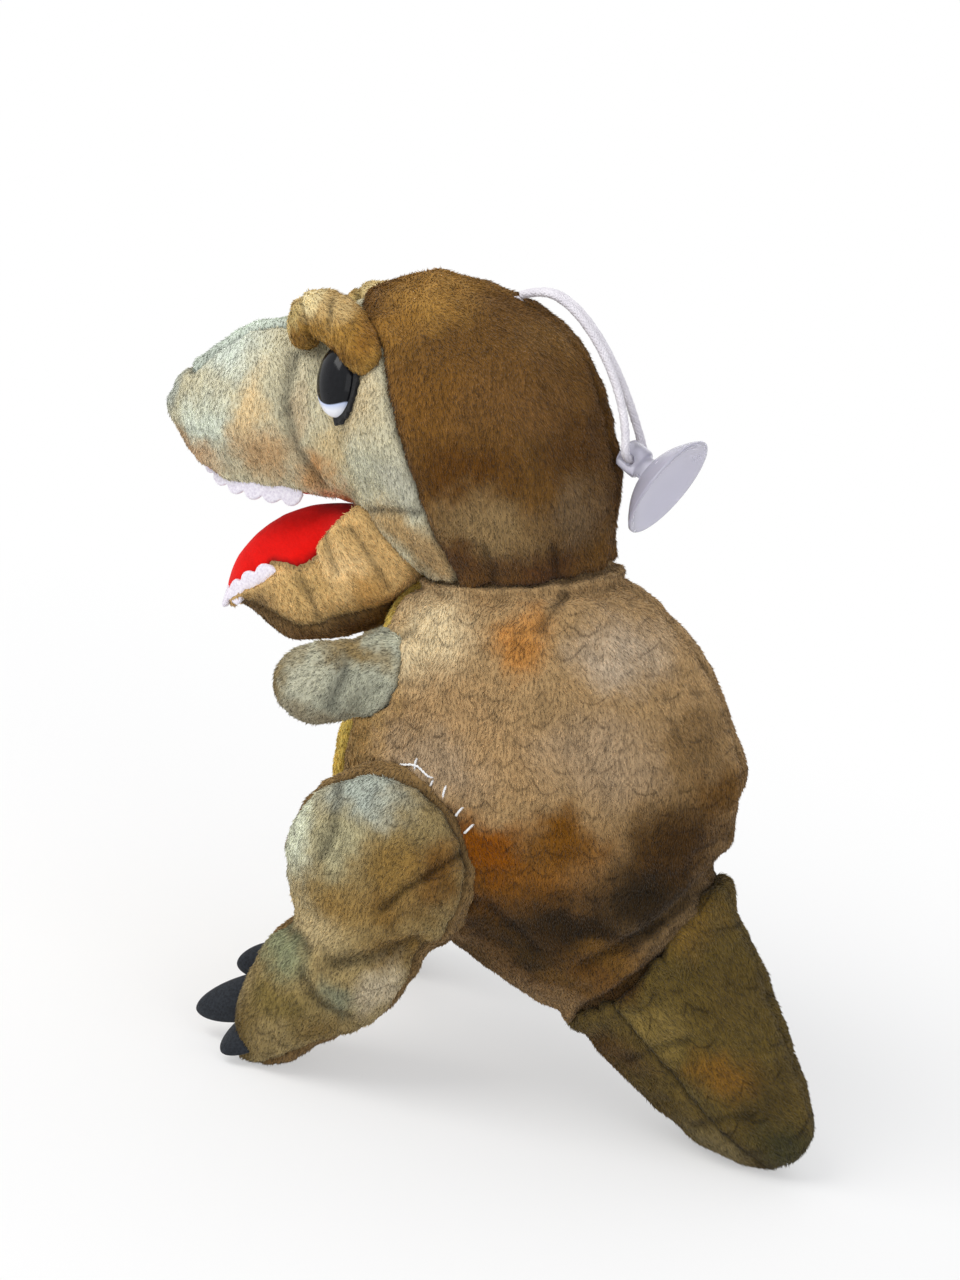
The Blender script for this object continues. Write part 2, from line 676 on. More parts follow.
def plush(name, base, sprays=(), comb=(0, 0.35, -1), prints=None, contrast=1.0, gain=1.45):
    """A brushed plush finish: dye sprayed in soft patches, a scale print, and combed pile.

    A spray is its centre and its reach in millimetres, the same on both sides of the toy, and its colour.
    """
    made, tree, shader = finish_of(name, base, Sheen_Weight=0.1, Sheen_Roughness=0.5, Specular_IOR_Level=0.1)
    calc = partial(sum_of, tree)
    in_mm = vector_of(tree, "MULTIPLY", place_in(tree), (1000, 1000, 1000))
    parts = node(tree, "ShaderNodeSeparateXYZ", {0: in_mm}).outputs
    y, z = parts["Y"], parts["Z"]
    place = node(tree, "ShaderNodeCombineXYZ", {"X": calc("ABSOLUTE", parts["X"]), "Y": y, "Z": z}).outputs[0]
    drift = noise_of(tree, in_mm, 0.075, 4.0, Roughness=0.6).outputs["Color"]
    centred = vector_of(tree, "SUBTRACT", drift, (0.5, 0.5, 0.5))
    drifted = vector_of(tree, "MULTIPLY_ADD", centred, (18, 18, 18), place)
    colour = base
    for spray_x, spray_y, spray_z, wide, long, tall, *dye in sprays:
        patch = node(tree, "ShaderNodeGroup", {"Place": drifted, "Centre": (spray_x, spray_y, spray_z),
                                               "Reach": (wide, long, tall)}, node_tree=spray)
        colour = blended(tree, patch.outputs["Mask"], colour, paint(*dye))
    if prints:
        tilt, wide, high, ink_strength = prints
        flat, steep = math.cos(math.radians(tilt)), math.sin(math.radians(tilt))
        wander = node(tree, "ShaderNodeSeparateXYZ", {0: drift}).outputs["X"]
        bend = calc("MULTIPLY", calc("SUBTRACT", wander, 0.5), 6.0)
        along = calc("ADD", calc("ADD", calc("MULTIPLY", y, flat), calc("MULTIPLY", z, steep)),
                     calc("MULTIPLY", bend, 0.5))
        up = calc("ADD", calc("SUBTRACT", calc("MULTIPLY", z, flat), calc("MULTIPLY", y, steep)), bend)
        printed = node(tree, "ShaderNodeGroup", {"Along": along, "Up": up, "Wide": wide, "High": high},
                       node_tree=scales).outputs
        kept = eased(tree, noise_of(tree, in_mm, 0.11, 3.0).outputs["Fac"], 0.42, 0.6)
        ink = calc("MULTIPLY", calc("MULTIPLY", printed["Line"], kept), ink_strength)
        shadow = calc("MULTIPLY", printed["Shade"], 0.2 * ink_strength)
        colour = blended(tree, calc("MAXIMUM", ink, shadow), colour, paint(64, 44, 24), "MULTIPLY")
    turn = Vector(comb).normalized().rotation_difference(Vector((0, 0, 1))).to_euler()
    combed = node(tree, "ShaderNodeMapping", {"Vector": in_mm, "Rotation": turn})
    nap = node(tree, "ShaderNodeGroup", {"Combed": combed.outputs[0]}, node_tree=brushed).outputs
    hair_tone, hair_tip, fold = (node(tree, "ShaderNodeAttribute", attribute_name=label).outputs["Fac"]
                                 for label in ("pile_tone", "pile_tip", "crease"))
    light = ranged(tree, nap["Tone"], 0.3, 0.7, gain * (1 - 0.22 * contrast), gain * (1 + 0.24 * contrast))
    tip = calc("ADD", calc("MULTIPLY", hair_tip, 0.5), 0.72)
    deep = calc("SUBTRACT", 1.0, calc("MULTIPLY", fold, 0.55))
    strength = calc("MULTIPLY", calc("MULTIPLY", light, calc("ADD", hair_tone, 0.53)),
                    calc("MULTIPLY", tip, deep))
    level = node(tree, "ShaderNodeCombineXYZ", {"X": strength, "Y": strength, "Z": strength})
    rich = node(tree, "ShaderNodeHueSaturation", {"Color": colour, "Saturation": 1.12})
    shaded = vector_of(tree, "MULTIPLY", rich.outputs[0], level.outputs[0])
    tree.links.new(shaded, shader.inputs["Base Color"])
    tree.links.new(ranged(tree, nap["Tone"], 0, 1, 0.98, 0.82), shader.inputs["Roughness"])
    raised = node(tree, "ShaderNodeBump", {"Height": nap["Height"], "Strength": 0.35, "Distance": 0.4 * mm})
    tree.links.new(raised.outputs[0], shader.inputs["Normal"])
    return made


def plain_values(mesh, **values):
    """Gives every point of a mesh the same value of each named attribute."""
    for label, value in values.items():
        data = mesh.attributes.new(label, "FLOAT", "POINT").data
        data.foreach_set("value", [value] * len(data))


tuft_radius, tuft_length = 0.17 * mm, 1.7 * mm
bm = bmesh.new()
bmesh.ops.create_cone(bm, cap_ends=True, segments=3, radius1=tuft_radius, radius2=0, depth=tuft_length)
bmesh.ops.translate(bm, verts=bm.verts, vec=(0, 0, 0.7 * mm))
bmesh.ops.remove_doubles(bm, verts=bm.verts, dist=1e-6)
tuft_mesh = mesh_of(bm, "tuft")
tip_values = [1.0 if v.co.z > 1.0 * mm else 0.0 for v in tuft_mesh.vertices]
tuft_mesh.attributes.new("pile_tip", "FLOAT", "POINT").data.foreach_set("value", tip_values)
tuft_mesh.polygons.foreach_set("use_smooth", [True] * len(tuft_mesh.polygons))
tuft = bpy.data.objects.new("tuft", tuft_mesh)

planting = bpy.data.node_groups.new("pile_planting", "GeometryNodeTree")
for label, way, kind in (("Sheet", "INPUT", "Geometry"), ("Pile", "OUTPUT", "Geometry"),
                         ("Thickness", "INPUT", "Float"), ("Seed", "INPUT", "Int"),
                         ("Tall", "INPUT", "Float")):
    planting.interface.new_socket(name=label, in_out=way, socket_type="NodeSocket" + kind)
plant_in, plant_out = planting.nodes.new("NodeGroupInput").outputs, planting.nodes.new("NodeGroupOutput")
plant = partial(node, planting)
roots = plant("GeometryNodeDistributePointsOnFaces",
              {"Mesh": plant_in["Sheet"], "Density": plant_in["Thickness"], "Seed": plant_in["Seed"]},
              distribute_method="RANDOM")
lying = plant("GeometryNodeInputNamedAttribute", {"Name": "lean"}, data_type="FLOAT_VECTOR")
scatter = plant("FunctionNodeRandomValue", {0: (-0.3, -0.3, -0.3), 1: (0.3, 0.3, 0.3), "Seed": 3},
                data_type="FLOAT_VECTOR")
pointing = vector_of(planting, "ADD", lying.outputs["Attribute"], scatter.outputs["Value"])
aimed = plant("FunctionNodeAlignRotationToVector", {"Vector": pointing}, axis="Z")
wide = plant("FunctionNodeRandomValue", {2: 0.75, 3: 1.2, "Seed": 5}, data_type="FLOAT").outputs[1]
tuft_scale = plant("ShaderNodeCombineXYZ",
                   {"X": wide, "Y": wide, "Z": sum_of(planting, "MULTIPLY", wide, plant_in["Tall"])})
tuft_shape = plant("GeometryNodeObjectInfo", {"Object": tuft})
planted = plant("GeometryNodeInstanceOnPoints",
                {"Points": roots.outputs["Points"], "Instance": tuft_shape.outputs["Geometry"],
                 "Rotation": aimed.outputs[0], "Scale": tuft_scale.outputs[0]})
tone_pick = plant("FunctionNodeRandomValue", {2: 0.0, 3: 1.0, "Seed": 9}, data_type="FLOAT")
toned = plant("GeometryNodeStoreNamedAttribute",
              {"Geometry": planted.outputs[0], "Name": "pile_tone", "Value": tone_pick.outputs[1]},
              data_type="FLOAT", domain="INSTANCE")
grown = plant("GeometryNodeRealizeInstances", {"Geometry": toned.outputs[0]})
planting.links.new(grown.outputs[0], plant_out.inputs["Pile"])

pile_sockets = {item.name: item.identifier for item in planting.interface.items_tree}
pile_seed = 0


def pile_on(name, sheet, finish, per_square_mm, tall):
    """Short combed tufts over the outside of a sheet, each with its own cell of the bake map."""
    global pile_seed
    pile_seed += 1
    bed = linked("bed", sheet.copy())
    pile = bed.modifiers.new("pile", "NODES")
    pile.node_group = planting
    pile[pile_sockets["Thickness"]] = per_square_mm * 1.0 * 1e6
    pile[pile_sockets["Seed"]] = pile_seed
    pile[pile_sockets["Tall"]] = tall
    mesh = finished(bed)
    spots, _ = spots_and_ways(mesh)
    least_height = -0.3
    spots[:, 2] = np.maximum(spots[:, 2], least_height)
    moved(mesh, spots)
    made = piece_from(name, mesh, finish)
    tufts = len(mesh.vertices) // 4
    loops = len(mesh.loops) // tufts
    across = math.ceil(math.sqrt(tufts))
    corners = np.array(((0.08, 0.08), (0.92, 0.08), (0.5, 0.92), (0.5, 0.4)))
    one = corners[[mesh.loops[i].vertex_index for i in range(loops)]]
    number = np.repeat(np.arange(tufts), loops)
    cell = 1 / across
    uv = np.tile(one, (tufts, 1)) * cell
    uv[:, 0] += (number % across) * cell
    uv[:, 1] += (number // across) * cell
    mesh.uv_layers.new(name="OFBake").data.foreach_set("uv", uv.astype(np.float32).ravel())
    return made


def panel_piece(panel, sheet, finish, ride_on, thickness=1.4, piled=None):
    """Makes one panel of fabric with its thickness, and the pile that stands on it."""
    outer = sheet.copy()
    plain_values(outer, pile_tone=0.4, pile_tip=0.35)
    cloth = linked(panel, outer)
    wall = cloth.modifiers.new("thickness", "SOLIDIFY")
    wall.thickness = thickness * mm
    wall.offset = -1.0
    made = [piece_from(panel + "_plush", finished(cloth), finish)]
    if piled:
        made.append(pile_on(panel + "_pile", sheet, finish, *piled))
    for piece in made:
        ride_on(piece)
        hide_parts(panel)


def rides(body):
    """A way to fix a piece: it moves with one body."""
    return lambda piece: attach(piece, body)


torso_nodes = ["belly_panel", "torso_side_left", "torso_side_right", "torso_fill"]
head_nodes = ["nose_bridge", "mouth_roof_lining", "skull_left", "skull_right", "cheek_left", "cheek_right",
              "head_fill"]
tail_nodes = ["tail_side_left", "tail_side_right", "tail_under_panel", "tail_fill"]
jaw_nodes = ["mouth_floor_lining", "jaw_under_panel", "jaw_side_left", "jaw_side_right", "jaw_fill"]
arm_nodes = [part + side for side in ("left", "right") for part in ("arm_outer_", "arm_inner_", "arm_fill_")]
leg_nodes = [part + side for side in ("left", "right") for part in ("leg_outer_", "leg_inner_", "leg_fill_")]


def torso_panel(spot):
    """Which torso panel a place in millimetres belongs to."""
    if abs(spot.x) < min(22, 22 - 0.6 * (spot.z - 104)) and spot.y < -22:
        return 0, "belly_panel"
    return (1, "torso_side_left") if spot.x > 0 else (2, "torso_side_right")



def upright_cuts(x, where):
    """The two upright seams this far left and right of the middle."""
    return [((x, 0, 0), (1, 0, 0), where), ((-x, 0, 0), (1, 0, 0), where)]


middle_seam = (0, 0, 0), (1, 0, 0)
torso_cuts = [*upright_cuts(22, lambda p: p.y < -20 and p.z < 106),
              ((22, 0, 104), (1, 0, 0.6), lambda p: p.y < -20 and p.z > 102 and p.x > 0),
              ((-22, 0, 104), (-1, 0, 0.6), lambda p: p.y < -20 and p.z > 102 and p.x < 0),
              ((0, -22, 0), (0, 1, 0), lambda p: abs(p.x) < 24), (*middle_seam, lambda p: p.y > -24)]
tail_roll = [[(47.2, 47.8), (62.5, 63.5), (74.9, 80.2)], [(47, 32.5), (61, 48.6), (78.9, 73.8)]]
torso_sheets = sewn_form(
    torso_nodes, torso_panel, torso_cuts, seed=11, comb=(0, 0.3, -1),
    neighbours=["skull_left", "skull_right", "cheek_left", "cheek_right", "tail_side_left", "tail_side_right",
                "tail_under_panel"] + arm_nodes + leg_nodes,
    creases=[(tail_roll[0], 0, 60, 1.6, 1.9), (tail_roll[1], 0, 60, 2.0, 1.9),
             ([(-24, 127), (-22, 119), (-24, 111)], 26, 60, 0.7, 1.8),
             ([(12, 146), (14, 138), (13, 131)], 20, 60, 0.6, 1.8),
             ([(16, 60), (24, 55), (34, 48)], 20, 60, 0.6, 2.2)],
    crowd=2.4, bumps=[((0, 69.5, 103.5), 8, 2.6)])
torso_dye = [
    (34, 26, 68, 40, 28, 13, 110, 76, 42), (30, 40, 46, 60, 38, 17, 84, 60, 34),
    (30, 60, 82, 60, 15, 18, 88, 66, 40), (38, 6, 100, 30, 26, 12, 146, 122, 92),
    (38, -5, 90, 30, 18, 9, 142, 124, 102), (36, 38, 104, 30, 16, 12, 142, 123, 100),
    (34, -17, 119, 30, 15, 12, 182, 167, 138), (36, 9, 127, 30, 8, 8, 152, 112, 72),
    (34, 35, 130, 30, 13, 9, 162, 147, 128), (32, -27, 95, 30, 6, 24, 165, 138, 97),
    (24, 58, 110, 30, 8, 14, 114, 92, 64), (14, 68, 98, 20, 7, 10, 92, 68, 40),
    (40, 14, 72, 30, 12, 9, 112, 68, 32), (38, 34, 80, 30, 11, 8, 100, 68, 34),
    (24, 60, 81, 30, 12, 14, 60, 42, 22), (36, 16, 56, 30, 13, 11, 82, 56, 29),
    (34, 25, 50, 30, 16, 9, 60, 43, 22), (32, 42, 58, 30, 17, 10, 38, 27, 13),
    (28, 56, 69, 30, 13, 10, 38, 28, 15), (30, 34, 44, 30, 11, 6, 54, 40, 21),
    (28, 52, 51, 30, 9, 5, 94, 70, 40), (30, 42, 40, 30, 8, 5, 90, 67, 38),
    (30, 12, 33, 40, 12, 7, 82, 62, 36),
]
side_plush = plush("printed_side_plush", paint(143, 120, 90), torso_dye, comb=(0, 0.3, -1),
                   prints=(12, 7.8, 5.6, 0.42), gain=1.75)
belly_plush = plush("yellow_belly_plush", paint(219, 196, 122),
                    [(0, -38, 70, 30, 20, 12, 206, 178, 104), (18, -24, 60, 8, 8, 30, 190, 158, 92)],
                    comb=(0, 0.1, -1), contrast=0.7)
for panel in ("torso_side_left", "torso_side_right"):
    panel_piece(panel, torso_sheets[panel], side_plush, rides("torso"), piled=(2.7, 0.72))
panel_piece("belly_panel", torso_sheets["belly_panel"], belly_plush, rides("torso"),
            piled=(2.6, 0.75))

# ------------------------------------------------------------ tail
# Two printed side panels and a plain under panel, stuffed and sewn into the torso's
# tail opening. The fabric is one piece with the torso there, so it bends at its
# root when the tail is wagged.
tail_seam = Vector((0, 56.3, 46.8))
tail_under_way = Vector((0, -math.sin(math.radians(37.5)), -math.cos(math.radians(37.5))))
tail_under_seam = tail_seam + tail_under_way * 7


def tail_panel(spot):
    """Which tail panel a place in millimetres belongs to."""
    if (spot - tail_under_seam).dot(tail_under_way) > 0:
        return 0, "tail_under_panel"
    return (1, "tail_side_left") if spot.x > 0 else (2, "tail_side_right")


def bends_at_root(piece):
    """The tail's cloth follows the torso at the seam and the tail two centimetres on."""
    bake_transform(piece)


tail_sheets = sewn_form(
    tail_nodes, tail_panel, [(tail_under_seam, tail_under_way, lambda p: True),
                             (*middle_seam, lambda p: (p - tail_under_seam).dot(tail_under_way) < 1)],
    seed=23, comb=(0, 0.75, -0.8), neighbours=torso_nodes[:3], seam_depth=0.35, crowd=2.4,
    creases=[([(62, 22), (70, 30), (77, 34)], 8, 60, 0.6, 1.8),
             ([(84, 10), (92, 16), (99, 18)], 6, 60, 0.5, 1.6)])
tail_dye = [
    (20, 70, 62, 30, 9, 8, 104, 84, 48), (20, 84, 48, 30, 8, 8, 84, 70, 40),
    (20, 66, 34, 30, 12, 8, 116, 100, 62), (20, 88, 26, 30, 10, 8, 112, 84, 46),
    (20, 100, 22, 30, 8, 10, 72, 60, 34), (14, 108, 8, 30, 9, 9, 60, 56, 34),
    (20, 76, 16, 30, 12, 7, 92, 80, 50), (20, 58, 46, 30, 5, 6, 70, 50, 28),
]
tail_plush = plush("printed_tail_plush", paint(88, 74, 42), tail_dye, comb=(0, 0.75, -0.8),
                   prints=(38, 9.5, 8.4, 0.5), gain=1.6)
under_plush = plush("plain_under_plush", paint(88, 74, 44), [(10, 60, 22, 20, 10, 8, 84, 64, 38),
                    (10, 90, 5, 20, 12, 8, 110, 98, 70)], comb=(0, 1, -0.2), gain=1.6)
for panel, sheet in tail_sheets.items():
    panel_piece(panel, sheet, under_plush if "under" in panel else tail_plush, bends_at_root,
                piled=(2.6, 0.85))

# ------------------------------------------------------------ legs and soles
# Each leg is a fat thigh that runs on into a long foot: an outer panel of grey-green
# plush with a dart behind the knee, a brown inner panel, and a separate sole. The
# left one is closed at the hip by hand.
sole_way = Vector((0, math.sin(math.radians(36)), -math.cos(math.radians(36))))
sole_seam = Vector((0, -25.8, 9.4)) + sole_way * 7.4


def leg_panel(spot):
    """Which leg panel a place in millimetres belongs to."""
    side = "left" if spot.x > 0 else "right"
    if (spot - sole_seam).dot(sole_way) > 0:
        return 0, "sole_" + side
    return (1, "leg_outer_" + side) if abs(spot.x) > 44.5 else (2, "leg_inner_" + side)


leg_dye = [
    (50, -14, 42, 30, 9, 6, 158, 142, 108), (46, -17, 80, 30, 12, 8, 160, 165, 155),
    (46, -32, 62, 30, 9, 16, 192, 194, 174), (50, -18, 66, 30, 9, 9, 158, 152, 124),
    (54, -3, 64, 30, 10, 9, 132, 108, 68), (54, -2, 54, 30, 10, 7, 120, 96, 60),
    (50, 8, 66, 30, 7, 9, 112, 84, 50), (52, -14, 50, 30, 9, 7, 140, 116, 76),
    (52, -22, 42, 30, 11, 7, 172, 156, 122), (50, 3, 42, 30, 9, 7, 128, 104, 66),
    (48, -28, 32, 30, 9, 6, 132, 134, 106), (48, -9, 27, 30, 7, 5, 126, 126, 104),
    (48, 0, 30, 30, 6, 8, 180, 168, 144), (50, -24, 20, 30, 12, 8, 112, 98, 62),
    (50, -32, 9, 30, 8, 9, 98, 82, 50), (50, -12, 15, 30, 8, 5, 120, 102, 68),
]
leg_plush = plush("grey_green_leg_plush", paint(142, 126, 92), leg_dye, comb=(0, -0.1, -1),
                  prints=(-22, 6.2, 5.6, 0.4))
inner_plush = plush("brown_leg_plush", paint(122, 100, 70), [(30, -34, 76, 20, 10, 8, 128, 108, 78),
                    (30, 0, 60, 20, 14, 14, 104, 82, 52), (36, -10, 24, 20, 14, 10, 116, 98, 70)],
                    comb=(0, 0, -1))
for side in ("left", "right"):
    leg_sheets = sewn_form(
        [part + side for part in ("leg_outer_", "leg_inner_", "sole_", "leg_fill_")], leg_panel,
        [(sole_seam, sole_way, lambda p: p.z < 40), ((44.5, 0, 0), (1, 0, 0), lambda p: p.x > 0),
         ((-44.5, 0, 0), (1, 0, 0), lambda p: p.x < 0)],
        seed=31 if side == "left" else 37, comb=(0, -0.1, -1), neighbours=torso_nodes[:3], seam_depth=0.9,
        creases=[([(-2.8, 52.8), (2.8, 61.6), (11.3, 70.9)], 46, 70, 1.5, 1.3),
                 ([(-11.5, 34.7), (-2.6, 39.4), (6.7, 45.2)], 30, 70, 2.0, 2.4),
                 ([(-19.7, 30), (-12.6, 24.8), (-4.8, 20.5)], 44, 70, 1.0, 1.7),
                 ([(-31, 36), (-25, 37.5), (-19, 36)], 44, 70, 0.8, 2.0),
                 ([(-24, 78), (-21, 70), (-22, 62)], 46, 70, 0.5, 2.2)])
    for panel, sheet in leg_sheets.items():
        outer = "outer" in panel
        panel_piece(panel, sheet, leg_plush if outer else inner_plush,
                    rides("leg_" + side), piled=(2.85, 0.68))

# ------------------------------------------------------------ arms
# Two small stuffed arms of two panels each, sewn into the side seams under the neck.
arm_plush = plush("grey_green_arm_plush", paint(156, 156, 140),
                  [(38, -44, 100, 20, 9, 8, 172, 170, 152), (36, -50, 96, 20, 4, 12, 122, 108, 80),
                   (36, -36, 110, 20, 14, 4, 130, 114, 84), (34, -40, 90, 20, 12, 4, 140, 132, 112)],
                  comb=(0, -0.6, -0.8))
arm_seam = Vector((31.0, -47, 98))
arm_way = Vector((0.963, 0.261, 0.06))
for side, mirror in (("left", 1), ("right", -1)):
    def arm_panel(spot, side=side):
        """Which arm panel a place in millimetres belongs to."""
        outside = Vector((abs(spot.x), spot.y, spot.z)) - arm_seam
        return (0, "arm_outer_" + side) if outside.dot(arm_way) > 0 else (1, "arm_inner_" + side)

    arm_sheets = sewn_form([part + side for part in ("arm_outer_", "arm_inner_", "arm_fill_")], arm_panel,
                           [((arm_seam.x * mirror, *arm_seam.yz), (arm_way.x * mirror, *arm_way.yz),
                             lambda p: True)],
                           seed=41 if side == "left" else 43, voxel=1.5, most=1.0, seam_depth=0.8, lump=0.5,
                           comb=(0, -0.6, -0.8), neighbours=torso_nodes[:3],
                           creases=[([(-36, 110), (-34, 103), (-35, 95)], 34, 60, 0.4, 1.6)])
    for panel, sheet in arm_sheets.items():
        panel_piece(panel, sheet, arm_plush, rides("arm_" + side), piled=(2.7, 0.75))

# ------------------------------------------------------------ head
# A brown skull of two panels, and a paler face: two cheek panels that run on into the
# snout, a nose bridge between them, and a red lining for the roof of the mouth.
face_place = Vector((0, -30, 160.5))
face_way = Vector((0, -math.cos(math.radians(31.4)), -math.sin(math.radians(31.4))))
crown_place = Vector((0, -52, 190.2))
crown_way = Vector((0, 0.42, 1)).normalized()


def head_panel(spot):
    """Which head panel a place in millimetres belongs to."""
    left = spot.x > 0
    if (spot - face_place).dot(face_way) < 0 or (spot - crown_place).dot(crown_way) > 0:
        return (0, "skull_left") if left else (1, "skull_right")
    if abs(spot.x) < 11 and spot.y < -66 and spot.z > 163:
        return 2, "nose_bridge"
    if abs(spot.x) < 10 and spot.y < -50 and spot.z < 141:
        return 3, "mouth_roof_lining"
    return (4, "cheek_left") if left else (5, "cheek_right")


head_cuts = [(face_place, face_way, lambda p: True), (crown_place, crown_way, lambda p: p.y < -45),
             *upright_cuts(11, lambda p: p.y < -64 and p.z > 161),
             ((0, -66, 0), (0, 1, 0), lambda p: abs(p.x) < 13 and p.z > 161),
             ((0, 0, 163), (0, 0, 1), lambda p: abs(p.x) < 13 and p.y < -64),
             *upright_cuts(10, lambda p: p.y < -48 and p.z < 143),
             ((0, -50, 0), (0, 1, 0), lambda p: abs(p.x) < 12 and p.z < 143),
             ((0, 0, 141), (0, 0, 1), lambda p: abs(p.x) < 12 and p.y < -48),
             (*middle_seam, lambda p: abs(p.x) < 3)]
head_sheets = sewn_form(
    head_nodes, head_panel, head_cuts, seed=53, comb=(0, 0.45, -0.9),
    neighbours=["torso_side_left", "torso_side_right", "belly_panel", "jaw_side_left", "jaw_side_right"],
    creases=[([(-73.9, 177.5), (-72.1, 165.7), (-66.5, 153.6), (-56.4, 142.8)], 14, 60, 1.3, 2.0),
             ([(-46, 142.7), (-35.5, 146.8), (-25, 150.9)], 20, 60, 0.9, 1.4),
             ([(-60, 148), (-55, 143), (-50, 139)], 20, 60, 0.7, 1.3),
             ([(-7, 146), (-4, 140), (-5, 134)], 22, 60, 0.5, 1.8),
             ([(8, 150), (10, 143), (8, 137)], 20, 60, 0.5, 1.8)],
    bumps=[((5, -107.5, 152.4), 2.0, -1.6)] + [((12.5, y, 138.5), 5, 1.5) for y in range(-102, -60, 6)])
skull_dye = [
    (22, -42, 203, 40, 13, 8, 156, 122, 74), (24, -46, 192, 30, 8, 8, 142, 108, 64),
    (34, -30, 178, 30, 12, 12, 120, 88, 52), (34, -8, 184, 30, 16, 12, 118, 88, 56),
    (34, -16, 164, 30, 12, 9, 96, 66, 36), (34, -8, 151, 30, 15, 9, 140, 118, 86),
    (30, 8, 178, 30, 9, 13, 88, 62, 36), (30, 12, 158, 30, 7, 12, 116, 96, 72),
    (34, -14, 140, 30, 14, 6, 92, 66, 42), (34, 8, 144, 30, 12, 5, 84, 58, 38),
    (20, -5, 202, 30, 12, 7, 124, 96, 62),
]
skull_plush = plush("brown_skull_plush", paint(108, 80, 48), skull_dye, comb=(0, 0.45, -0.9), gain=1.25)
face_dye = [
    (10, -96, 172, 24, 14, 9, 200, 205, 194), (14, -92, 152, 20, 13, 8, 198, 202, 188),
    (14, -100, 142, 24, 14, 5, 176, 152, 124), (2, -113, 155, 12, 7, 8, 160, 164, 156),
    (18, -82, 160, 24, 5, 12, 206, 186, 150), (18, -76, 150, 24, 9, 8, 184, 158, 124),
    (26, -68, 162, 24, 4, 12, 180, 166, 140), (30, -55, 158, 24, 7, 10, 196, 180, 146),
    (30, -42, 157, 24, 8, 10, 190, 188, 168), (30, -33, 156, 24, 8, 8, 176, 174, 158),
    (26, -60, 148, 24, 6, 6, 186, 150, 110), (22, -55, 142, 20, 5, 4, 190, 118, 82),
    (30, -34, 141, 24, 14, 7, 180, 156, 118), (28, -20, 140, 24, 10, 9, 172, 148, 112),
    (30, -50, 172, 24, 10, 8, 190, 176, 146),
]
cheek_plush = plush("grey_green_face_plush", paint(188, 182, 158), face_dye, comb=(0, 0.6, -0.8),
                    contrast=0.8, gain=1.35)
bridge_plush = plush("nose_bridge_plush", paint(190, 197, 186), [(0, -104, 170, 20, 8, 7, 168, 174, 164),
                     (6, -74, 186, 12, 8, 6, 178, 168, 140)], comb=(0, 1, 0.2), contrast=0.8)
lining_cloth = plush("red_lining_cloth", paint(222, 26, 22), [(0, -52, 130, 14, 8, 8, 196, 24, 22),
                     (0, -60, 141, 20, 10, 5, 190, 30, 26)], comb=(0, 1, -0.3), contrast=0.5, gain=1.1)
for panel, sheet in head_sheets.items():
    if panel == "mouth_roof_lining":
        panel_piece(panel, sheet, lining_cloth, rides("head"))
    else:
        finish, slot_name = {"skull": (skull_plush, "brown_plush"), "cheek": (cheek_plush, "snout_plush"),
                             "nose_": (bridge_plush, "snout_plush")}[panel[:5]]
        panel_piece(panel, sheet, finish, rides("head"),
                    piled=(2.7, 0.85 if panel[:5] == "skull" else 0.7))

# ------------------------------------------------------------ lower jaw
# The same work at a smaller size: two golden side panels, a dark panel underneath,
# and the red lining of the mouth's floor, stuffed and sewn under the cheeks.
jaw_place = Vector((0, -48.5, 118))
jaw_up = Vector((0, -0.5, 0.866))
jaw_corner = np.array((-53.2, 137.9))
jaw_ways = np.array(((-0.562, -0.827), (-0.827, 0.562)))
lip_way = Vector((0, *jaw_ways[1]))
lip_seam = Vector((0, *jaw_corner)) - 3.4 * lip_way


def jaw_panel(spot):
    """Which jaw panel a place in millimetres belongs to."""
    above = (spot - jaw_place).dot(jaw_up)
    if abs(spot.x) < 12.5 and (above > 6 or (spot - lip_seam).dot(lip_way) > 0):
        return 0, "mouth_floor_lining"
    if above < -5.2:
        return 1, "jaw_under_panel"
    return (2, "jaw_side_left") if spot.x > 0 else (3, "jaw_side_right")


def drawn_out(spots):
    """Draws the front of the jaw forward, to the length its hard stuffing gives it."""
    along = (spots[:, 1:] - jaw_corner) @ jaw_ways[0]
    return spots + smooth_share(along, 12, 45)[:, None] * np.array((0, -6.4, 1.3))


def lip_height(along):
    """How high the lip stands over the line from the mouth's corner to its tip."""
    return np.interp(along, (-4, 0, 8, 14, 20, 25, 30, 34, 38, 42, 46, 50, 54),
                     (-6, -1.5, -2.0, -1.7, -0.8, -0.3, 0.1, 1.2, 2.5, 3.4, 4.0, 4.0, 4.0))


def arched(share):
    """1 at the middle, and down to 0 at the sides."""
    return np.cos(np.clip(share, 0, 1) * math.pi / 2)


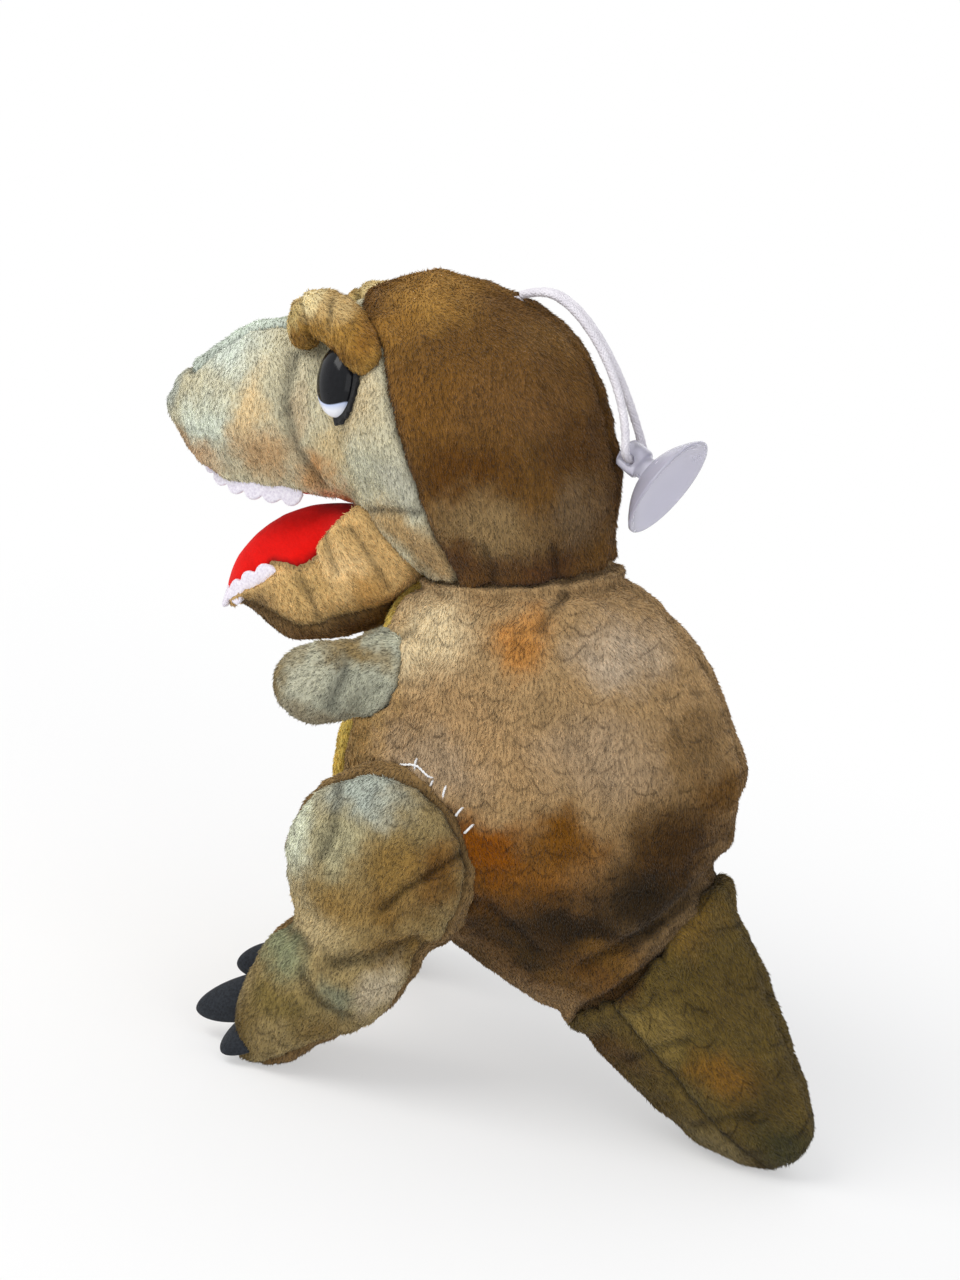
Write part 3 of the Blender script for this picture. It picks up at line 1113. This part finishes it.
def jaw_swell(spots):
    """The lips stand in a straight line, and the lining bulges up between them."""
    spots = drawn_out(spots)
    along, over = jaw_ways @ (spots[:, 1:] - jaw_corner).T
    across = np.abs(spots[:, 0])
    lip = lip_height(along)
    tongue = np.interp(along, (-4, 0, 3, 6, 9, 12.6, 17, 22.1, 27, 31.4, 35.5, 39.1, 42, 44.8, 47.5, 50),
                       (-2, 2.2, 4.9, 7.1, 9.1, 10.7, 12.3, 13.3, 13.6, 13.2, 12.5, 11.0, 9.2, 6.8, 5.0, 4.2))
    chin = np.interp(along, (20, 26, 31, 36, 39, 42, 45, 48, 50),
                     (-26, -22.5, -19, -15.3, -12, -8.6, -4.2, 0, 3))
    half_width = np.interp(along, (0, 20, 30, 36, 41, 45, 49, 52), (13.5, 12.8, 11.5, 10, 8, 6, 3.5, 2))
    inward = arched(across / half_width) ** 1.3
    target = lip + (tongue - lip) * inward
    upper = smooth_share(over, -11, -4) * smooth_share(along, -7, 1) * (1 - 0.7 * smooth_share(along, 43, 48))
    lift = upper * np.maximum(target - over, 0) + smooth_share(along, -2, 6) * np.minimum(target - over, 0)
    low = np.interp(along, (30, 36, 42, 46), (-14, -12, -5, -0.5))
    under = 1 - smooth_share(over, low, low + np.interp(along, (30, 46), (10, 4)))
    sink = under * np.maximum(over - chin, 0) * np.clip(arched(across / 17) * 1.6, 0, 1)
    spots[:, 1:] += (lift - sink)[:, None] * jaw_ways[1]
    return spots


jaw_sheets = sewn_form(
    jaw_nodes, jaw_panel,
    [(jaw_place + jaw_up * 6, jaw_up, lambda p: abs(p.x) < 14),
     (jaw_place - jaw_up * 5.2, jaw_up, lambda p: True),
     (lip_seam, lip_way, lambda p: abs(p.x) < 14 and (p - jaw_place).dot(jaw_up) < 8),
     *upright_cuts(12.5, lambda p: (p - lip_seam).dot(lip_way) > -1 or (p - jaw_place).dot(jaw_up) > 5),
     (*middle_seam, lambda p: abs(p.x) < 3)],
    seed=61, comb=(0, 0.7, -0.5), voxel=1.7, most=1.0, seam_depth=0.7, lump=0.5, neighbours=head_nodes[:-1],
    shaped=jaw_swell,
    creases=[([(-52.6, 132.1), (-49.2, 124.2)], 15, 40, 1.4, 1.3),
             ([(-47.3, 136.7), (-41, 131.4), (-33.8, 124.5)], 14, 40, 1.2, 1.3),
             ([(-58, 118), (-54, 114), (-52, 110)], 15, 40, 0.7, 1.6)])
jaw_plush = plush("golden_jaw_plush", paint(190, 162, 118), [(14, -70, 108, 20, 8, 6, 150, 126, 92),
                  (16, -56, 118, 20, 8, 6, 172, 146, 104), (16, -46, 126, 20, 7, 8, 206, 180, 138),
                  (16, -36, 120, 20, 6, 6, 168, 136, 92)], comb=(0, 0.7, -0.5))
jaw_under_plush = plush("dark_jaw_plush", paint(112, 90, 62), [(10, -55, 100, 16, 10, 6, 98, 74, 48),
                        (10, -40, 108, 16, 8, 6, 84, 62, 40)], comb=(0, 1, 0.3))
for panel, sheet in jaw_sheets.items():
    if panel == "mouth_floor_lining":
        panel_piece(panel, sheet, lining_cloth, rides("jaw"))
    else:
        panel_piece(panel, sheet, jaw_under_plush if "under" in panel else jaw_plush,
                    rides("jaw"), piled=(2.7, 0.7))

# ------------------------------------------------------------ teeth and claws
# Teeth are a scalloped strip of thick white felt along each lip. Claws are folded
# black felt, three to a foot, caught in the seam in front of the sole.
fuzz, fuzz_in, fuzz_out = group_of("felt_fuzz", [("Place", "Vector", None)],
                                   [("Tone", "Float"), ("Height", "Float")])
fibres = noise_of(fuzz, fuzz_in.outputs["Place"], 2.6, 5.0, Roughness=0.7, Distortion=1.2).outputs["Fac"]
matting = node(fuzz, "ShaderNodeTexVoronoi", {"Vector": fuzz_in.outputs["Place"], "Scale": 1.3})
fuzz_tone = sum_of(fuzz, "ADD", sum_of(fuzz, "MULTIPLY", fibres, 0.7),
                   sum_of(fuzz, "MULTIPLY", matting.outputs["Distance"], 0.3))
fuzz.links.new(fuzz_tone, fuzz_out.inputs["Tone"])
fuzz.links.new(fibres, fuzz_out.inputs["Height"])


def felt(name, dark, light, relief=0.5, sheen=0.25):
    """A matted felt finish between two tones."""
    made, tree, shader = finish_of(name, light, Roughness=0.92, Sheen_Weight=sheen, Specular_IOR_Level=0.2)
    in_mm = vector_of(tree, "MULTIPLY", place_in(tree), (1000, 1000, 1000))
    matted = node(tree, "ShaderNodeGroup", {"Place": in_mm}, node_tree=fuzz).outputs
    colour = blended(tree, ranged(tree, matted["Tone"], 0.3, 0.65), dark, light)
    tree.links.new(colour, shader.inputs["Base Color"])
    raised = node(tree, "ShaderNodeBump", {"Height": matted["Height"], "Strength": relief,
                                           "Distance": 0.25 * mm})
    tree.links.new(raised.outputs[0], shader.inputs["Normal"])
    return made


def soft_copy(name, source, voxel, finish, body, smoothing=2, shaped=None):
    """A stiff little cloth piece with rounded edges, made from its CAD node's shape."""
    bm = bmesh.new()
    bm.from_mesh(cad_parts[source].data)
    bmesh.ops.remove_doubles(bm, verts=bm.verts, dist=weld_distance)
    mesh = smoothed(remeshed(mesh_of(bm, name), voxel), smoothing)
    if shaped:
        moved(mesh, shaped(spots_and_ways(mesh)[0]))
    belongs(piece_from(name, mesh, finish), body, source)


white_felt = felt("white_tooth_felt", paint(206, 198, 214), paint(240, 236, 244), 0.6)
claw_felt = felt("black_claw_felt", paint(20, 22, 27), paint(46, 50, 56), 0.8, 0.15)


def under_the_lip(spots):
    """Takes the strip in to the length and depth that the lip leaves showing."""
    middle = (spots[:, 1].min() + spots[:, 1].max()) / 2
    return np.column_stack((spots[:, 0], middle - 1.6 + (spots[:, 1] - middle) * 0.84, spots[:, 2] + 2.0))


def along_the_lip(spots):
    """Sets the lower strip along the lip, round to the very tip of the jaw."""
    along, over = jaw_ways @ (spots[:, 1:] - jaw_corner).T
    spots = spots.copy()
    spots[:, 1:] += ((13 - along) * 0.15 + 7)[:, None] * jaw_ways[0]
    spots = drawn_out(spots)
    along, over = jaw_ways @ (spots[:, 1:] - jaw_corner).T
    middle = np.polyval(np.polyfit(along, over, 3), along)
    wanted = np.interp(along, (19, 23, 30, 36, 42, 50), (-0.4, 0.2, 1.8, 3.2, 4.6, 5.2))
    spots[:, 1:] += (wanted - middle)[:, None] * jaw_ways[1]
    return spots


soft_copy("upper_teeth_felt", "upper_teeth", 0.45, white_felt, "head", shaped=under_the_lip)
soft_copy("lower_teeth_felt", "lower_teeth", 0.45, white_felt, "jaw", shaped=along_the_lip)
claws = [((36.5, -33.0, 22.0), (38.0, -43.0, 17.2), (0.4, 0.44, -0.8), 5.2),
         ((46.8, -31.5, 15.4), (48.6, -47.6, 5.6), (0.4, 0.44, -0.8), 6.4),
         ((50.0, -27.5, 10.4), (60.2, -34.0, 1.6), (0.33, 0.93, -0.15), 6.0)]
for side, mirror in (("left", 1), ("right", -1)):
    foot = bmesh.new()
    for root, tip, flat, half_width in claws:
        root, ahead = Vector(root), Vector(tip) - Vector(root)
        reach = ahead.length
        ahead.normalize()
        flat = Vector(flat)
        flat = (flat - ahead * flat.dot(ahead)).normalized()
        claw = bmesh.new()
        bmesh.ops.create_uvsphere(claw, u_segments=32, v_segments=28, radius=1)
        for vert in claw.verts:
            ring = max(math.sqrt(max(1 - vert.co.z ** 2, 0)), 1e-6)
            share = (vert.co.z + 1) / 2
            wide = half_width * max(1 - share ** 2.2, 0) ** 0.55
            thick = 1.25 * max(1 - share ** 5, 0) ** 0.5
            x = vert.co.x / ring * wide if ring > 1e-5 else 0
            y = vert.co.y / ring * thick if ring > 1e-5 else 0
            vert.co = (x, y + 1.3 * math.cos(x / half_width * 1.3) - 0.8, share * reach)
        bmesh.ops.transform(claw, verts=claw.verts, matrix=facing(root, flat, ahead.cross(flat), ahead))
        bmesh.ops.scale(claw, verts=claw.verts, vec=(mirror * mm, mm, mm))
        bmesh.ops.recalc_face_normals(claw, faces=claw.faces)
        add_to(foot, claw)
    for vert in foot.verts:
        vert.co.z = max(vert.co.z, 0.1 * mm)
    belongs(piece_from("claws_felt_" + side, mesh_of(foot, "claws"), claw_felt), "leg_" + side,
            "claws_" + side)

# ------------------------------------------------------------ brows
# A stuffed roll of golden plush over each eye, sewn down along its rear and lower
# side, with a soft fold where its front end is turned under.
brow_dye = [
    (22, -70, 194, 20, 6, 5, 204, 190, 152), (24, -61, 195, 20, 6, 4, 178, 156, 116),
    (26, -50, 190, 20, 6, 6, 134, 100, 58), (28, -56, 184, 20, 10, 3, 112, 84, 48),
    (22, -74, 188, 20, 3, 6, 176, 158, 114), (22, -70, 184, 20, 3, 3, 124, 96, 58),
]
brow_plush = plush("golden_brow_plush", paint(146, 116, 70), brow_dye, comb=(0, 0.8, -0.5))
brow_run = [((31.0, -50.0, 184.6), 4.2), ((30.0, -53.0, 186.6), 5.4), ((28.4, -56.5, 188.6), 6.0),
            ((26.4, -60.5, 190.2), 6.3), ((24.2, -64.5, 191.1), 6.2), ((22.0, -68.5, 190.8), 5.9),
            ((20.4, -71.4, 188.8), 5.3), ((19.8, -72.6, 185.6), 4.4), ((19.9, -72.2, 183.2), 3.6)]


def brow_roll(mirror):
    """The roll as balls along its run, for one skin to be drawn over."""
    bm = bmesh.new()
    for (before, small), (after, large) in zip(brow_run, brow_run[1:]):
        for share in (0, 0.25, 0.5, 0.75, 1):
            centre = Vector(before).lerp(Vector(after), share)
            place = Matrix.Translation(Vector((centre.x * mirror, centre.y, centre.z)) * mm)
            bmesh.ops.create_uvsphere(bm, u_segments=24, v_segments=16, matrix=place,
                                      radius=(small + (large - small) * share) * mm)
    return mesh_of(bm, "brow_roll")


for side, mirror in (("left", 1), ("right", -1)):
    brow = "brow_" + side
    brow_sheet = sewn_form(brow_roll(mirror), lambda spot, brow=brow: (0, brow), [],
                           seed=71 if side == "left" else 73, voxel=1.1, most=0.6,
                           comb=(0, 0.8, -0.5), lump=0.5, crowd=0.2,
                           neighbours=["cheek_left", "cheek_right", "skull_left", "skull_right"],
                           creases=[([(-73.5, 192.5), (-70.5, 189), (-68.2, 184.5)], 10, 60, 1.5, 1.0),
                                    ([(-64, 196), (-62, 191)], 10, 60, 0.5, 1.2)])[brow]
    panel_piece(brow, brow_sheet, brow_plush, rides("head"), thickness=1.0, piled=(2.9, 0.75))

# ------------------------------------------------------------ eyes
# Black plastic safety eyes: a shiny oval dome with a white crescent moulded low at
# its front, on an oval of black felt whose rear edge shows as a lash. A toothed
# washer behind the cloth holds each one.
eye_turn = Matrix.Rotation(math.radians(-40), 4, "Z") @ Matrix.Rotation(math.radians(12), 4, "X")
eye_centre = Vector((27.8, -57.0, 176.0))
eye_half = Vector((5.2, 7.0, 9.6))
eye_black, tree, shader = finish_of("black_eye_plastic", paint(14, 15, 18), IOR=1.45, Specular_IOR_Level=0.22)
real = place_in(tree)
parts = node(tree, "ShaderNodeSeparateXYZ", {0: real}).outputs
left_place = node(tree, "ShaderNodeCombineXYZ", {"X": sum_of(tree, "ABSOLUTE", parts["X"]), "Y": parts["Y"],
                                                 "Z": parts["Z"]}).outputs[0]
own = node(tree, "ShaderNodeMapping", {"Vector": vector_of(tree, "SUBTRACT", left_place, eye_centre * mm),
                                       "Rotation": eye_turn.inverted().to_euler(),
                                       "Scale": (1000, 1000, 1000)})
flat = node(tree, "ShaderNodeSeparateXYZ", {0: own.outputs[0]}).outputs
calc = partial(sum_of, tree)
wide = calc("DIVIDE", calc("SUBTRACT", flat["Y"], 1.9), 7.6)
high = calc("DIVIDE", calc("SUBTRACT", flat["Z"], 2.6), 8.9)
iris = calc("SQRT", calc("ADD", calc("MULTIPLY", wide, wide), calc("MULTIPLY", high, high)))
crescent = calc("MULTIPLY", ranged(tree, iris, 1.0, 1.03), ranged(tree, flat["Z"], 0.5, -1.5))
white_part = blended(tree, ranged(tree, iris, 1.0, 1.18), paint(182, 196, 230), paint(238, 240, 248))
dust = noise_of(tree, real, 900.0, 3.0).outputs["Fac"]
black_part = blended(tree, dust, paint(9, 10, 13), paint(24, 25, 29))
tree.links.new(blended(tree, crescent, black_part, white_part), shader.inputs["Base Color"])
tree.links.new(ranged(tree, dust, 0, 1, 0.08, 0.2), shader.inputs["Roughness"])
lash_felt = felt("black_eye_felt", paint(10, 10, 11), paint(34, 33, 34), 0.7, 0.1)
for side, mirror in (("left", 1), ("right", -1)):
    bm = bmesh.new()
    bmesh.ops.create_uvsphere(bm, u_segments=64, v_segments=40, radius=mm,
                              matrix=Matrix.Rotation(math.pi / 2, 4, "Y"))
    bmesh.ops.scale(bm, verts=bm.verts, vec=eye_half)
    bmesh.ops.bisect_plane(bm, geom=bm.verts[:] + bm.edges[:] + bm.faces[:], plane_co=(-0.4 * mm, 0, 0),
                           plane_no=(1, 0, 0), clear_inner=True)
    back = bmesh.ops.extrude_edge_only(bm, edges=[e for e in bm.edges if e.is_boundary])["geom"]
    bmesh.ops.translate(bm, verts=[v for v in back if isinstance(v, bmesh.types.BMVert)],
                        vec=(-0.6 * mm, 0, 0))
    bmesh.ops.holes_fill(bm, edges=[e for e in bm.edges if e.is_boundary], sides=0)
    bmesh.ops.transform(bm, verts=bm.verts, matrix=Matrix.Translation(eye_centre * mm) @ eye_turn)
    bmesh.ops.scale(bm, verts=bm.verts, vec=(mirror, 1, 1))
    bmesh.ops.recalc_face_normals(bm, faces=bm.faces)
    belongs(piece_from("eye_dome_" + side, mesh_of(bm, "eye"), eye_black), "head", "eye_" + side)

    def lash_shape(spots, mirror=mirror):
        """Draws the felt in under the dome all round but at its rear edge."""
        turn = np.array(Matrix.Diagonal((mirror, 1, 1)) @ eye_turn.to_3x3())
        centre = np.array((eye_centre.x * mirror, eye_centre.y, eye_centre.z))
        own_place = (spots - centre) @ turn
        rear = smooth_share(own_place[:, 1] - 0.35 * own_place[:, 2], 1.0, 5.0)
        ragged = 0.06 * waves(spots, 1.6, 4)
        own_place[:, 1:] *= (0.78 + 0.24 * rear + ragged)[:, None]
        return own_place @ turn.T + centre

    soft_copy("eye_lash_" + side, "eye_felt_" + side, 0.35, lash_felt, "head", smoothing=1,
              shaped=lash_shape)

# ------------------------------------------------------------ hip stitches
# The left hip seam is closed by hand with white thread: short two-ply stitches from
# the thigh to the torso, and the thread's end left loose along the seam.
hip = Vector((0, -10.5, 59.5))
stitch_bed = BVHTree.FromBMesh(nodes_as_bmesh(["torso_side_left", "leg_outer_left", "leg_inner_left"]))


def on_hip(radius, degrees, above):
    """A place on the left side of the toy, about the hip, this far above the cloth."""
    angle = math.radians(degrees)
    start = (hip + Vector((80, radius * math.cos(angle), radius * math.sin(angle)))) * mm
    hit = stitch_bed.ray_cast(start, Vector((-1, 0, 0)))[0] or start - Vector((40 * mm, 0, 0))
    return hit + Vector((above * mm, 0, 0))


ply_radius, ply_offset, ply_twist, steps_between = 0.2 * mm, 0.16 * mm, 5.5, 4
threads = tubes("threads", ply_radius, 2)


def thread_along(places):
    """Two twisted plies along these places."""
    for ply in (0, 1):
        spline = threads.splines.new("POLY")
        spline.points.add(len(places) * steps_between - steps_between)
        for i, point in enumerate(spline.points):
            way_along = i / steps_between
            step = min(int(way_along), len(places) - 2)
            centre = places[step].lerp(places[step + 1], way_along - step)
            ahead = (places[step + 1] - places[step]).normalized()
            side = ahead.cross(Vector((1, 0.2, 0))).normalized()
            angle = way_along * ply_twist + ply * math.pi
            around = side * math.cos(angle) + ahead.cross(side) * math.sin(angle)
            point.co = (*(centre + around * ply_offset), 1.0)


stitch_arch = [(0, -0.8), (0.12, 0.7), (0.3, 1.5), (0.5, 1.8), (0.7, 1.5), (0.88, 0.8), (1, -0.9)]
for start_angle, inner, outer, slant in ((38, 25.8, 29.6, 3), (49, 26.2, 29.2, 2), (60, 25.6, 29.4, 5),
                                         (71, 25.9, 28.6, 1), (82, 26.1, 29.8, 4)):
    thread_along([on_hip(inner + (outer - inner) * share, start_angle + slant * share, above)
                  for share, above in stitch_arch])
loose_end = [(26.2, 96, -0.6), (26.8, 94, 1.0), (27.4, 91, 1.8), (28.4, 87, 2.0), (28.9, 83, 1.9),
             (28.6, 79, 1.9), (28.2, 75.5, 1.6), (28.4, 73, 0.9), (28.6, 71.5, -0.6)]
thread_along([on_hip(*place) for place in loose_end])
thread_finish = felt("white_sewing_thread", paint(214, 214, 216), paint(246, 246, 246), 0.3)
stitches = piece_from("hip_stitch_threads", finished(bpy.data.objects.new("threads", threads)), thread_finish)
belongs(stitches, "torso", "hip_stitches")

# ------------------------------------------------------------ filling and hidden fixings
# Crimped polyester fibre fills every form. It is blown in and presses on the cloth.
# The washers and the cord's knot sit in it, out of sight.
fluff = felt("fibrefill_fluff", paint(214, 212, 206), paint(246, 245, 241), 1.0, 0.4)
for name, body in [(body + "_fill", body) for body in ("torso", "tail", "head", "jaw")] + [
        (part + "_fill_" + side, part + "_" + side) for part in ("arm", "leg") for side in ("left", "right")]:
    mesh = one_skin(joined([name]), 2.6, 2)
    spots, ways = spots_and_ways(mesh)
    room_for_cloth, crimp = 3.0, 0.5
    moved(mesh, spots - ways * (room_for_cloth + crimp * waves(spots, 7, 5))[:, None])
    ball = piece_from(name + "_fluff", smoothed(mesh, 14), fluff)
    belongs(ball, body, name)
washer_finish = felt("nylon_washer", paint(208, 206, 200), paint(232, 231, 227), 0.15, 0.0)
for name, finish in (("eye_washer_left", washer_finish), ("eye_washer_right", washer_finish),
                     ("cord_knot", cord_finish)):
    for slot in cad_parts[name].material_slots:
        slot.material = finish
